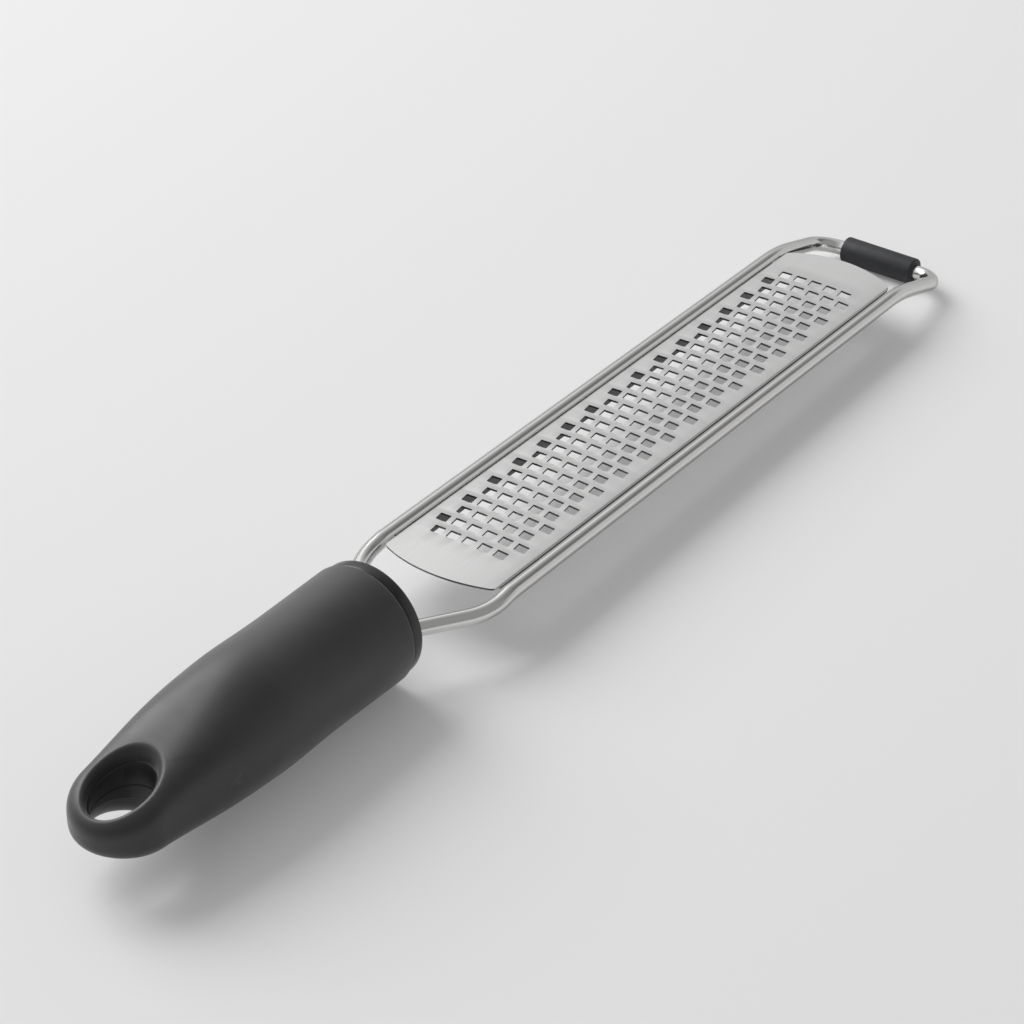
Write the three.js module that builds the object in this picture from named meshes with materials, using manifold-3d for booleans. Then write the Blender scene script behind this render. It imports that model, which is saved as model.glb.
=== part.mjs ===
// Hand-held grater: a crowned steel grating plate in a bent wire frame, with a soft-grip handle
// at one end and a rubber sleeve on the wire's dropped tip at the other.
// Millimetres. The pieces are built with X along the tool towards its tip, Y across it and Z up,
// from the middle of the plate in the plane of the frame's side wires. The finished tool is then
// laid down on its handle and sleeve, with its origin on the surface below the middle of its length.

import * as THREE from 'three';
import { mergeGeometries, mergeVertices } from 'three/addons/utils/BufferGeometryUtils.js';
import Module from 'manifold-3d';

const wasm = await Module();
wasm.setup();

// Clearance between pieces that touch on the real tool
const CLEARANCE = 0.3;

// Wire frame
const ROD_DIAMETER = 4;
const SIDE_SPACING = 37.4;
const NECK_SPACING = 13;
const SHOULDER_SETBACK = 5.9;
const SHOULDER_RADIUS = 17;
const LEG_STEP = 1.3;
const LEG_STEP_LENGTH = 8;
const LEG_STEP_RADIUS = 12;
const NECK_LENGTH = 18.4;
const NECK_RADIUS = 6;
const NECK_TO_COLLAR = 1.1;
const ROD_SEAT_DEPTH = 38;
const TIP_FOLD_SETBACK = 0.2;
const TIP_FOLD_ANGLE = 15.8;
const TIP_FOLD_RADIUS = 40;
const TIP_REACH = 23.6;
const TIP_CORNER_RADIUS = 7;

// Grating plate
const PLATE_LENGTH = 175;
const PLATE_THICKNESS = 0.5;
const PLATE_GAP = 0.4;
const PLATE_EDGE_HEIGHT = 0.9;
const PLATE_CROWN = 0.6;
const PLATE_END_BULGE = 4.1;
const PLATE_CORNER_CUT = 1.6;
const FLANGE_DEPTH = 6.4;
const FLANGE_END_MARGIN = 5;
const FLANGE_SHOULDER = 0.1;

// Teeth, in staggered rows across the plate
const TOOTH_LENGTH = 2.4;
const TOOTH_WIDTH = 3.1;
const TOOTH_RISE = 0.35;
const TOOTH_PITCH = 4.55;
const TOOTH_ROW_PITCH = 5.07;
const TOOTH_SIDE_MARGIN = 3.2;
const TOOTH_END_MARGIN = 10;

// Rubber sleeve on the tip's crossbar
const SLEEVE_DIAMETER = 7.2;
const SLEEVE_INSET = 0.9;
const SLEEVE_EDGE = 0.5;

// Handle
const HANDLE_LENGTH = 96.1;
const HANDLE_FRONT_HEIGHT = 0.65;
const HANDLE_REAR_HEIGHT = 0.48;
const HANDLE_DROOP = 2.3;
const COLLAR_DIAMETER = 29.5;
const COLLAR_LENGTH = 3.2;
const COLLAR_EDGE = 0.6;
const SPIGOT_DIAMETER = 6;
const SPIGOT_LENGTH = 8;
const SPIGOT_HEIGHT = 6.5;
const GRIP_FRONT_DIAMETER = 30.6;
const GRIP_WAIST_DIAMETER = 30.2;
const GRIP_WAIST_SETBACK = 27.2;
const GRIP_BELLY_DIAMETER = 31;
const GRIP_BELLY_SETBACK = 48.2;
const GRIP_NOSE_THICKNESS = 12.1;
const GRIP_NOSE_LENGTH = 4.7;
const GRIP_WALL = 2;

// Hang hole in the eye at the end of the handle
const EYE_RADIUS = 11.9;
const EYE_SQUARENESS = 3.5;
const EYE_REAR_WALL = 3.4;
const EYE_SIDE_WALL = 5.2;
const EYE_TOP_ROUND = { spread: 1.9, depth: 3.2 };
const EYE_BOTTOM_ROUND = { spread: 3.5, depth: 5.2 };
const EYE_ROUND_SWEEP = THREE.MathUtils.degToRad(60);
const EYE_LIP = 0.3;
const EYE_LEDGE = 0.4;
const STRAIGHT = { spread: 0, depth: 1 };

// Finishes
const SATIN_STEEL = { color: 0xc9c9c6, roughness: 0.32, metalness: 1 };
const POLISHED_STEEL = { color: 0xc4c3bf, roughness: 0.2, metalness: 1 };
const TIP_RUBBER = { color: 0x2b2c30, roughness: 0.75, metalness: 0 };
const COLLAR_PLASTIC = { color: 0x242527, roughness: 0.4, metalness: 0 };
const CORE_PLASTIC = { color: 0x1b1b1c, roughness: 0.5, metalness: 0 };
const SOFT_GRIP = { color: 0x3b3b3d, roughness: 0.8, metalness: 0 };

// Fineness of the surfaces, and how far a cutter runs past what it cuts
const ROD_SIDES = 12;
const BORE_SIDES = 16;
const GRIP_SIDES = 28;
const PROFILE_STEPS = 6;
const TAPER_STEPS = 6;
const ROUND_STEPS = 3;
const CROWN_STEPS = 10;
const LEAN_STEPS = 6;
const BEND_STEP = THREE.MathUtils.degToRad(11);
const SAME_PLACE = 1e-4;
const SAME_EDGE = 0.01;
const CUT_MARGIN = 1;

// Places along the tool that the sizes above lead to
const rodRadius = ROD_DIAMETER / 2;
const sideY = SIDE_SPACING / 2;
const neckY = NECK_SPACING / 2;
const plateEndX = PLATE_LENGTH / 2;
const plateHalfWidth = sideY - rodRadius - PLATE_GAP;
const plateReach = PLATE_EDGE_HEIGHT + PLATE_CROWN + FLANGE_DEPTH + CUT_MARGIN;
const shoulderX = -plateEndX - SHOULDER_SETBACK;
const neckX = shoulderX - NECK_LENGTH;
const collarFrontX = neckX - NECK_TO_COLLAR;
const collarBackX = collarFrontX - COLLAR_LENGTH;
const gripFrontX = collarBackX - CLEARANCE;
const rodEndX = collarFrontX - ROD_SEAT_DEPTH;
const handleEndX = collarFrontX - HANDLE_LENGTH;
const eyeX = handleEndX + EYE_RADIUS;
const bellyX = collarFrontX - GRIP_BELLY_SETBACK;
const noseX = handleEndX + GRIP_NOSE_LENGTH;
const foldAngle = THREE.MathUtils.degToRad(TIP_FOLD_ANGLE);
const foldX = plateEndX + TIP_FOLD_SETBACK;
const crossbarX = foldX + TIP_REACH * Math.cos(foldAngle);
const crossbarZ = -TIP_REACH * Math.sin(foldAngle);

// A closed geometry as a solid, without the flat triangles at a lathe's poles
function solidOf(geometry) {
  const bare = geometry.clone();
  bare.deleteAttribute('normal');
  bare.deleteAttribute('uv');
  const merged = mergeVertices(bare, SAME_PLACE);
  const corners = merged.index.array;
  const kept = [];
  for (let i = 0; i < corners.length; i += 3) {
    const [a, b, c] = corners.slice(i, i + 3);
    if (a !== b && b !== c && c !== a) {
      kept.push(a, b, c);
    }
  }
  const vertProperties = new Float32Array(merged.attributes.position.array);
  const triVerts = new Uint32Array(kept);
  return new wasm.Manifold(new wasm.Mesh({ numProp: 3, vertProperties, triVerts }));
}

// A solid as a named mesh of one material
function meshOf(name, solid, finish) {
  const { vertProperties, triVerts } = solid.getMesh();
  const geometry = new THREE.BufferGeometry();
  geometry.setAttribute('position', new THREE.BufferAttribute(vertProperties, 3));
  geometry.setIndex(new THREE.BufferAttribute(triVerts, 1));
  geometry.computeVertexNormals();
  const mesh = new THREE.Mesh(geometry, new THREE.MeshStandardMaterial(finish));
  mesh.name = name;
  return mesh;
}

// A round bar along X from one place to another, at a place across the tool
function barAlongX(fromX, toX, y, z, radius) {
  const bar = new THREE.CylinderGeometry(radius, radius, Math.abs(toX - fromX), BORE_SIDES);
  bar.rotateZ(Math.PI / 2);
  bar.translate((fromX + toX) / 2, y, z);
  return solidOf(bar);
}

// Centre line of a bent wire: its steps are even along the list of stations, not along its length
class BentPath extends THREE.Curve {
  constructor(stations) {
    super();
    this.stations = stations;
  }

  getUtoTmapping(u) {
    return u;
  }

  getPoint(t, target = new THREE.Vector3()) {
    const last = this.stations.length - 1;
    const place = THREE.MathUtils.clamp(t, 0, 1) * last;
    const index = Math.min(Math.floor(place), last - 1);
    return target.lerpVectors(this.stations[index], this.stations[index + 1], place - index);
  }
}

// Stations of a round bend at a corner between two straight runs
function bendStations(before, corner, after, radius) {
  const toBefore = before.clone().sub(corner).normalize();
  const toAfter = after.clone().sub(corner).normalize();
  const halfAngle = toBefore.angleTo(toAfter) / 2;
  const sweep = Math.PI - 2 * halfAngle;
  const setback = radius / Math.tan(halfAngle);
  const inward = toBefore.clone().add(toAfter).normalize();
  const centre = corner.clone().addScaledVector(inward, radius / Math.sin(halfAngle));
  const start = corner.clone().addScaledVector(toBefore, setback).sub(centre);
  const end = corner.clone().addScaledVector(toAfter, setback).sub(centre);
  const steps = Math.ceil(sweep / BEND_STEP);
  const stations = [];
  for (let i = 0; i <= steps; i += 1) {
    const turned = (i / steps) * sweep;
    const station = centre.clone();
    station.addScaledVector(start, Math.sin(sweep - turned) / Math.sin(sweep));
    station.addScaledVector(end, Math.sin(turned) / Math.sin(sweep));
    stations.push(station);
  }
  return stations;
}

// The frame is one wire: out of the handle, along a side, round the dropped tip and back
function wireFrame() {
  const leg = (side) => [
    { at: new THREE.Vector3(rodEndX, side * neckY, -LEG_STEP) },
    { at: new THREE.Vector3(neckX, side * neckY, -LEG_STEP), radius: NECK_RADIUS },
    { at: new THREE.Vector3(shoulderX, side * sideY, -LEG_STEP), radius: SHOULDER_RADIUS },
    { at: new THREE.Vector3(shoulderX + LEG_STEP_LENGTH, side * sideY, 0), radius: LEG_STEP_RADIUS },
    { at: new THREE.Vector3(foldX, side * sideY, 0), radius: TIP_FOLD_RADIUS },
    { at: new THREE.Vector3(crossbarX, side * sideY, crossbarZ), radius: TIP_CORNER_RADIUS },
  ];
  const corners = [...leg(-1), ...leg(1).reverse()];
  const stations = [corners[0].at];
  for (let i = 1; i < corners.length - 1; i += 1) {
    const bend = bendStations(corners[i - 1].at, corners[i].at, corners[i + 1].at, corners[i].radius);
    stations.push(...bend);
  }
  stations.push(corners[corners.length - 1].at);
  const section = new THREE.Shape().absarc(0, 0, rodRadius, 0, 2 * Math.PI);
  return solidOf(new THREE.ExtrudeGeometry(section, {
    steps: stations.length - 1,
    curveSegments: ROD_SIDES / 2,
    extrudePath: new BentPath(stations),
  }));
}

// Height of the plate's top across its width
function crownHeight(y) {
  return PLATE_EDGE_HEIGHT + PLATE_CROWN * (1 - (y / plateHalfWidth) ** 2);
}

// Middles of the teeth: as many rows as the plate's length takes, one tooth fewer in every other row
function toothCentres() {
  const lengthRoom = PLATE_LENGTH - 2 * TOOTH_END_MARGIN - TOOTH_LENGTH;
  const widthRoom = 2 * (plateHalfWidth - TOOTH_SIDE_MARGIN) - TOOTH_WIDTH;
  const rows = Math.floor(lengthRoom / TOOTH_ROW_PITCH) + 1;
  const widest = Math.floor(widthRoom / TOOTH_PITCH) + 1;
  const centres = [];
  for (let row = 0; row < rows; row += 1) {
    const across = row % 2 === 0 ? widest - 1 : widest;
    for (let i = 0; i < across; i += 1) {
      const x = (row - (rows - 1) / 2) * TOOTH_ROW_PITCH;
      const y = (i - (across - 1) / 2) * TOOTH_PITCH;
      centres.push(new THREE.Vector2(x, y));
    }
  }
  return centres;
}

// Outline of the plate: straight sides, bulging ends and trimmed corners
function plateOutline() {
  const endRadius = (plateHalfWidth ** 2 + PLATE_END_BULGE ** 2) / (2 * PLATE_END_BULGE);
  const endCentreX = plateEndX + PLATE_END_BULGE - endRadius;
  const cornerAngle = Math.asin(plateHalfWidth / endRadius) - PLATE_CORNER_CUT / endRadius;
  const sideEndX = plateEndX - PLATE_CORNER_CUT;
  const outline = new THREE.Shape();
  outline.moveTo(-sideEndX, -plateHalfWidth);
  outline.lineTo(sideEndX, -plateHalfWidth);
  outline.absarc(endCentreX, 0, endRadius, -cornerAngle, cornerAngle);
  outline.lineTo(sideEndX, plateHalfWidth);
  outline.lineTo(-sideEndX, plateHalfWidth);
  outline.absarc(-endCentreX, 0, endRadius, Math.PI - cornerAngle, Math.PI + cornerAngle);
  outline.closePath();
  return outline;
}

// A thin sheet with the plate's crown, longer than the plate
function crownedSheet() {
  const section = new THREE.Shape();
  section.moveTo(-plateHalfWidth, crownHeight(plateHalfWidth) - PLATE_THICKNESS);
  for (const [from, to, lift] of [[-1, 1, -PLATE_THICKNESS], [1, -1, 0]]) {
    for (let i = 0; i <= CROWN_STEPS; i += 1) {
      const y = plateHalfWidth * THREE.MathUtils.lerp(from, to, i / CROWN_STEPS);
      section.lineTo(y, crownHeight(y) + lift);
    }
  }
  const sheetLength = PLATE_LENGTH + 2 * (PLATE_END_BULGE + CUT_MARGIN);
  const sheet = new THREE.ExtrudeGeometry(section, { depth: sheetLength, bevelEnabled: false });
  sheet.translate(0, 0, -sheetLength / 2);
  sheet.rotateX(Math.PI / 2);
  sheet.rotateZ(Math.PI / 2);
  return solidOf(sheet);
}

// One upright cutter for all the tooth holes
function toothCutters() {
  const holes = toothCentres().map((centre) => {
    const hole = new THREE.BoxGeometry(TOOTH_LENGTH, TOOTH_WIDTH, 2 * plateReach);
    return hole.translate(centre.x, centre.y, 0);
  });
  return solidOf(mergeGeometries(holes));
}

// The plate: a crowned sheet with a flange turned down along each side wire, full of tooth holes
function gratingPlate() {
  const outline = new THREE.ExtrudeGeometry(plateOutline(), {
    depth: 2 * plateReach,
    bevelEnabled: false,
    curveSegments: PROFILE_STEPS,
  });
  outline.translate(0, 0, -plateReach);
  let plate = crownedSheet().intersect(solidOf(outline));
  const flangeLength = PLATE_LENGTH - 2 * FLANGE_END_MARGIN;
  const flangeHeight = FLANGE_DEPTH - FLANGE_SHOULDER;
  for (const side of [-1, 1]) {
    const flange = new THREE.BoxGeometry(flangeLength, PLATE_THICKNESS, flangeHeight);
    const y = side * (plateHalfWidth - FLANGE_SHOULDER - PLATE_THICKNESS / 2);
    flange.translate(0, y, PLATE_EDGE_HEIGHT - FLANGE_SHOULDER - flangeHeight / 2);
    plate = plate.add(solidOf(flange));
  }
  return plate.subtract(toothCutters());
}

// Bend up the cutting edge of every tooth, which is the tip side of its hole
function raiseCuttingEdges(mesh) {
  const teeth = toothCentres();
  const places = mesh.geometry.attributes.position;
  for (let i = 0; i < places.count; i += 1) {
    const x = places.getX(i);
    const y = places.getY(i);
    const onEdge = teeth.some((centre) => (
      Math.abs(centre.x + TOOTH_LENGTH / 2 - x) < SAME_EDGE
      && Math.abs(centre.y - y) < TOOTH_WIDTH / 2 + SAME_EDGE
    ));
    if (onEdge) {
      places.setZ(i, places.getZ(i) + TOOTH_RISE);
    }
  }
  mesh.geometry.computeVertexNormals();
}

// Rubber sleeve round the crossbar, as long as the straight between the tip's corners allows
function tipSleeve() {
  const halfLength = sideY - TIP_CORNER_RADIUS - SLEEVE_INSET;
  const outer = SLEEVE_DIAMETER / 2;
  const inner = rodRadius + CLEARANCE;
  const profile = [
    new THREE.Vector2(inner, -halfLength),
    new THREE.Vector2(outer - SLEEVE_EDGE, -halfLength),
    new THREE.Vector2(outer, -halfLength + SLEEVE_EDGE),
    new THREE.Vector2(outer, halfLength - SLEEVE_EDGE),
    new THREE.Vector2(outer - SLEEVE_EDGE, halfLength),
    new THREE.Vector2(inner, halfLength),
    new THREE.Vector2(inner, -halfLength),
  ];
  const sleeve = new THREE.LatheGeometry(profile, GRIP_SIDES);
  sleeve.translate(crossbarX, 0, crossbarZ);
  return solidOf(sleeve);
}

// Height of the handle's middle line at a place along it: straight to the belly, then drooping
function handleHeight(x) {
  const share = (collarFrontX - x) / HANDLE_LENGTH;
  const bent = Math.max(bellyX - x, 0) / (bellyX - handleEndX);
  const straight = THREE.MathUtils.lerp(HANDLE_FRONT_HEIGHT, HANDLE_REAR_HEIGHT, share);
  return straight - HANDLE_DROOP * bent ** 2;
}

// Share of the way from the belly, 0, to the eye, 1, eased at both ends
function taperShare(x) {
  return 1 - THREE.MathUtils.smoothstep(x, eyeX, bellyX);
}

// Power of the handle's oval sections: round as far as the belly, squarer round the eye
function sectionPower(x) {
  return THREE.MathUtils.lerp(2, EYE_SQUARENESS, taperShare(x));
}

// Half width of the handle in plan: round to the belly, then drawn in to a half circle round the eye
function planHalfWidth(x, halfHeight, inset) {
  const eyeHalfWidth = EYE_RADIUS - inset;
  if (x >= bellyX) {
    return halfHeight;
  }
  if (x <= eyeX) {
    return Math.sqrt(Math.max(eyeHalfWidth ** 2 - (x - eyeX) ** 2, 0));
  }
  return THREE.MathUtils.lerp(GRIP_BELLY_DIAMETER / 2 - inset, eyeHalfWidth, taperShare(x));
}

// Half height of the handle's middle from the belly along the straight taper, and on past the nose to its end
function taperHalfHeight(x, inset) {
  const along = (bellyX - x) / (bellyX - noseX);
  return THREE.MathUtils.lerp(GRIP_BELLY_DIAMETER, GRIP_NOSE_THICKNESS, along) / 2 - inset;
}

// Half height of the handle's skin over a place in plan, behind the belly, with a round end behind the eye
function skinHalfHeight(x, y, inset) {
  const power = sectionPower(x);
  const middle = taperHalfHeight(x, inset);
  const outward = x < eyeX
    ? Math.hypot(x - eyeX, y) / (EYE_RADIUS - inset)
    : Math.abs(y) / planHalfWidth(x, middle, inset);
  return middle * (1 - Math.min(outward, 1) ** power) ** (1 / power);
}

// The handle's form, drawn in evenly by an inset, from a flat front to the rounded nose
function handleForm(frontX, inset) {
  const noseHeight = GRIP_NOSE_THICKNESS / 2 - inset;
  const side = new THREE.Path();
  side.moveTo(frontX, 0);
  side.lineTo(frontX, GRIP_FRONT_DIAMETER / 2 - inset);
  side.lineTo(collarFrontX - GRIP_WAIST_SETBACK, GRIP_WAIST_DIAMETER / 2 - inset);
  for (let i = 0; i <= TAPER_STEPS; i += 1) {
    const x = THREE.MathUtils.lerp(bellyX, noseX, i / TAPER_STEPS);
    side.lineTo(x, taperHalfHeight(x, inset));
  }
  side.absellipse(noseX, 0, GRIP_NOSE_LENGTH - inset, noseHeight, Math.PI / 2, Math.PI);
  const profile = side.getPoints(PROFILE_STEPS).map((point) => new THREE.Vector2(point.y, -point.x));
  const form = new THREE.LatheGeometry(profile, GRIP_SIDES);
  const places = form.attributes.position;
  for (let i = 0; i < places.count; i += 1) {
    const x = -places.getY(i);
    const power = sectionPower(x);
    const across = places.getX(i);
    const upward = places.getZ(i);
    const halfHeight = Math.hypot(across, upward);
    const fullness = halfHeight / (Math.abs(across) ** power + Math.abs(upward) ** power) ** (1 / power);
    const widen = planHalfWidth(x, halfHeight, inset) / halfHeight;
    if (halfHeight < SAME_PLACE) {
      places.setXYZ(i, x, 0, handleHeight(x));
    } else if (x < eyeX) {
      const height = Math.sign(upward) * skinHalfHeight(x, across * widen, inset);
      places.setXYZ(i, x, across * widen, height + handleHeight(x));
    } else {
      places.setXYZ(i, x, across * fullness * widen, upward * fullness + handleHeight(x));
    }
  }
  return solidOf(form);
}

// Rings of one end of the hang hole's wall: straight, then rounded outwards and on through the handle's skin
function mouthRings(round, end) {
  const rings = [];
  for (let i = 0; i <= ROUND_STEPS; i += 1) {
    const turn = EYE_ROUND_SWEEP * (i / ROUND_STEPS);
    const spread = round.spread * (1 - Math.cos(turn));
    rings.push({ end, spread, depth: round.depth * (1 - Math.sin(turn)) });
  }
  const brink = rings[ROUND_STEPS];
  const flare = Math.tan(EYE_ROUND_SWEEP) * (round.spread / round.depth);
  const lipSpread = brink.spread + (brink.depth + EYE_LIP) * flare;
  rings.push({ end, spread: lipSpread, depth: -EYE_LIP });
  rings.push({ end, spread: lipSpread, depth: -EYE_RADIUS });
  return rings;
}

// Cutter for the hang hole: an oval wall between two mouths
function holeCutter(inset, bottomRound, topRound) {
  const wall = [...mouthRings(bottomRound, -1).reverse(), ...mouthRings(topRound, 1)];
  const profile = [new THREE.Vector2(0, 0)];
  wall.forEach((ring, i) => profile.push(new THREE.Vector2(1, i)));
  profile.push(new THREE.Vector2(0, wall.length - 1));
  const cutter = new THREE.LatheGeometry(profile, GRIP_SIDES);
  cutter.rotateX(Math.PI / 2);
  const halfLength = EYE_RADIUS - EYE_REAR_WALL - inset;
  const halfWidth = EYE_RADIUS - EYE_SIDE_WALL - inset;
  const places = cutter.attributes.position;
  for (let i = 0; i < places.count; i += 1) {
    const ring = wall[Math.round(places.getZ(i))];
    const x = eyeX + places.getX(i) * (halfLength + ring.spread);
    const y = places.getY(i) * (halfWidth + ring.spread);
    places.setXYZ(i, x, y, handleHeight(x) + ring.end * (skinHalfHeight(x, y, 0) - ring.depth));
  }
  return solidOf(cutter);
}

// Soft grip: a skin round the core, open at the front and at the hang hole
function gripSleeve() {
  const cavity = handleForm(collarFrontX, GRIP_WALL);
  return handleForm(gripFrontX, 0).subtract(cavity).subtract(holeCutter(0, EYE_BOTTOM_ROUND, EYE_TOP_ROUND));
}

// Hard core inside the grip: holds the wire's ends and the collar's spigot, and lines the hang hole
function handleCore() {
  const bore = rodRadius + CLEARANCE;
  const boreEndX = rodEndX - CLEARANCE;
  const spigotBore = SPIGOT_DIAMETER / 2 + CLEARANCE;
  const spigotEndX = collarBackX - SPIGOT_LENGTH - CLEARANCE;
  return handleForm(gripFrontX, GRIP_WALL + CLEARANCE)
    .subtract(barAlongX(boreEndX, collarFrontX, -neckY, -LEG_STEP, bore))
    .subtract(barAlongX(boreEndX, collarFrontX, neckY, -LEG_STEP, bore))
    .subtract(barAlongX(spigotEndX, collarFrontX, 0, SPIGOT_HEIGHT, spigotBore))
    .subtract(holeCutter(EYE_LEDGE, STRAIGHT, STRAIGHT));
}

// Collar that closes the front of the handle, with a hole for each leg of the wire and a spigot behind
function frontCollar() {
  const radius = COLLAR_DIAMETER / 2;
  const profile = [
    new THREE.Vector2(0, 0),
    new THREE.Vector2(radius, 0),
    new THREE.Vector2(radius, COLLAR_LENGTH - COLLAR_EDGE),
    new THREE.Vector2(radius - COLLAR_EDGE, COLLAR_LENGTH),
    new THREE.Vector2(0, COLLAR_LENGTH),
  ];
  const disc = new THREE.LatheGeometry(profile, GRIP_SIDES);
  disc.rotateZ(-Math.PI / 2);
  disc.translate(collarBackX, 0, HANDLE_FRONT_HEIGHT);
  const bore = rodRadius + CLEARANCE;
  const pastFrontX = collarFrontX + COLLAR_LENGTH;
  const pastBackX = collarBackX - COLLAR_LENGTH;
  const spigotRootX = collarFrontX - COLLAR_LENGTH / 2;
  return solidOf(disc)
    .add(barAlongX(collarBackX - SPIGOT_LENGTH, spigotRootX, 0, SPIGOT_HEIGHT, SPIGOT_DIAMETER / 2))
    .subtract(barAlongX(pastBackX, pastFrontX, -neckY, -LEG_STEP, bore))
    .subtract(barAlongX(pastBackX, pastFrontX, neckY, -LEG_STEP, bore));
}

const steelPlate = meshOf('grater_plate', gratingPlate(), SATIN_STEEL);
raiseCuttingEdges(steelPlate);
const steelFrame = meshOf('wire_frame', wireFrame(), POLISHED_STEEL);
const rubberSleeve = meshOf('tip_sleeve', tipSleeve(), TIP_RUBBER);
const collar = meshOf('front_collar', frontCollar(), COLLAR_PLASTIC);
const core = meshOf('handle_core', handleCore(), CORE_PLASTIC);
const grip = meshOf('grip_sleeve', gripSleeve(), SOFT_GRIP);

const grater = new THREE.Group();
grater.add(steelPlate, steelFrame, rubberSleeve, collar, core, grip);

// Lowest point of a mesh as the tool now lies
function lowestPoint(mesh) {
  const point = new THREE.Vector3();
  const lowest = new THREE.Vector3(0, 0, Infinity);
  const places = mesh.geometry.attributes.position;
  for (let i = 0; i < places.count; i += 1) {
    point.fromBufferAttribute(places, i).applyMatrix4(mesh.matrixWorld);
    if (point.z < lowest.z) {
      lowest.copy(point);
    }
  }
  return lowest;
}

// Lean the tool until its belly and its sleeve are level, which takes a few steps on round undersides
for (let i = 0; i < LEAN_STEPS; i += 1) {
  grater.updateMatrixWorld(true);
  const belly = lowestPoint(grip);
  const foot = lowestPoint(rubberSleeve);
  grater.rotation.y += Math.atan2(foot.z - belly.z, foot.x - belly.x);
}

// Stand it on the surface, with the origin below the middle of its length
grater.updateMatrixWorld(true);
const reach = new THREE.Box3().setFromObject(grater, true);
grater.position.set(-(reach.min.x + reach.max.x) / 2, 0, -reach.min.z);

export default grater;
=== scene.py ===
"""Fine pieces, finishes, light and camera for a hand-held cheese grater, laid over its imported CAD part."""

import math
from collections import namedtuple

import bmesh
import bpy
from mathutils import Matrix, Vector


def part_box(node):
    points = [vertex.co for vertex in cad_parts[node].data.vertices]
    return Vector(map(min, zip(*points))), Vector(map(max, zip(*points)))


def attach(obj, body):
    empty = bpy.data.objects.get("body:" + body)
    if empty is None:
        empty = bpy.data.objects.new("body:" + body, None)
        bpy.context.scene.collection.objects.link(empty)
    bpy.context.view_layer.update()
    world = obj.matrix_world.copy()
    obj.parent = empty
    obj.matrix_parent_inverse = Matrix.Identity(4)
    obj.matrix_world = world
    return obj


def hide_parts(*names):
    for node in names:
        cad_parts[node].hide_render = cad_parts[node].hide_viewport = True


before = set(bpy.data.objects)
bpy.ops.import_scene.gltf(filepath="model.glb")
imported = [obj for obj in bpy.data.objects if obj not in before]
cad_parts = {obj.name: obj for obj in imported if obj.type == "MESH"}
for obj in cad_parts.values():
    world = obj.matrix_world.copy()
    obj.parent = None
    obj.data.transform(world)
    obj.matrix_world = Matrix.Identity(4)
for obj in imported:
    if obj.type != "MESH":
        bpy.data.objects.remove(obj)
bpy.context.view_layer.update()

# Sizes are in millimetres, in the tool's own frame: X to the tip, Y across, Z up,
# with the origin at the middle of the plate, in the plane of the side wires
MM = 0.001
LEAN_DEG = 1.16955  # the tool lies on the front of its grip and on its tip sleeve

# Wire frame
ROD_DIAMETER = 4.0
SIDE_SPACING = 37.4
NECK_SPACING = 13.0
SHOULDER_X = -93.4
SHOULDER_RADIUS = 17.0
LEG_STEP = 1.3
LEG_STEP_LENGTH = 8.0
LEG_STEP_RADIUS = 12.0
NECK_X = -111.8
NECK_RADIUS = 6.0
ROD_END_X = -150.9
FOLD_X = 87.7
FOLD_DEG = 15.8
FOLD_RADIUS = 40.0
TIP_REACH = 23.6
TIP_CORNER_RADIUS = 7.0

# Grating plate
PLATE_LENGTH = 175.0
PLATE_WIDTH = 32.6
PLATE_THICKNESS = 0.5
PLATE_EDGE_HEIGHT = 0.9
PLATE_CROWN = 0.6
PLATE_END_BULGE = 4.1
PLATE_CORNER_RADIUS = 1.6
PLATE_CORNER_STEPS = 4
PLATE_EDGE_ROUND = 0.6
PLATE_EDGE_TURNS_DEG = (15, 27, 39, 51, 63, 76)  # where a rolled side edge is cut along its turn
PLATE_EDGE_EASE = 0.09
PLATE_EDGE_STEPS = 2
PLATE_EDGE_SHARP_DEG = 50
PLATE_CREVICE = (16.17, 16.22)  # where, right of the middle, the side wire's shade begins and is full
FLANGE_DEPTH = 6.4
FLANGE_REACH = 82.5
TOOTH_ROWS = 31
TOOTH_LENGTH = 2.4
TOOTH_WIDTH = 3.1
TOOTH_RISE = 0.35
TOOTH_DIP = 0.12
TOOTH_RAMP = 1.5
TOOTH_HEEL = 0.6
TOOTH_PITCH = 4.55
TOOTH_ROW_PITCH = 5.07
TEETH_IN_WIDE_ROW = 6

# Tip sleeve
SLEEVE_DIAMETER = 7.2
SLEEVE_LENGTH = 21.6
SLEEVE_EDGE = 0.45
SLEEVE_EDGE_STEPS = 5
SLEEVE_BORE_ROOM = 0.06

# Front collar
COLLAR_FRONT_X = -112.9
COLLAR_BACK_X = -116.1
COLLAR_DIAMETER = 29.5
COLLAR_EDGE = (0.6, 4)  # width of a rounded edge, and its steps
COLLAR_BACK_EDGE = (0.35, 3)
COLLAR_HOLE_EDGE = (0.25, 2)
COLLAR_HOLE_ROOM = 0.12
SPIGOT_DIAMETER = 6.0
SPIGOT_LENGTH = 8.0
SPIGOT_HEIGHT = 6.5
SPIGOT_OVERLAP = 0.2
SPIGOT_SIDES = 24

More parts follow.
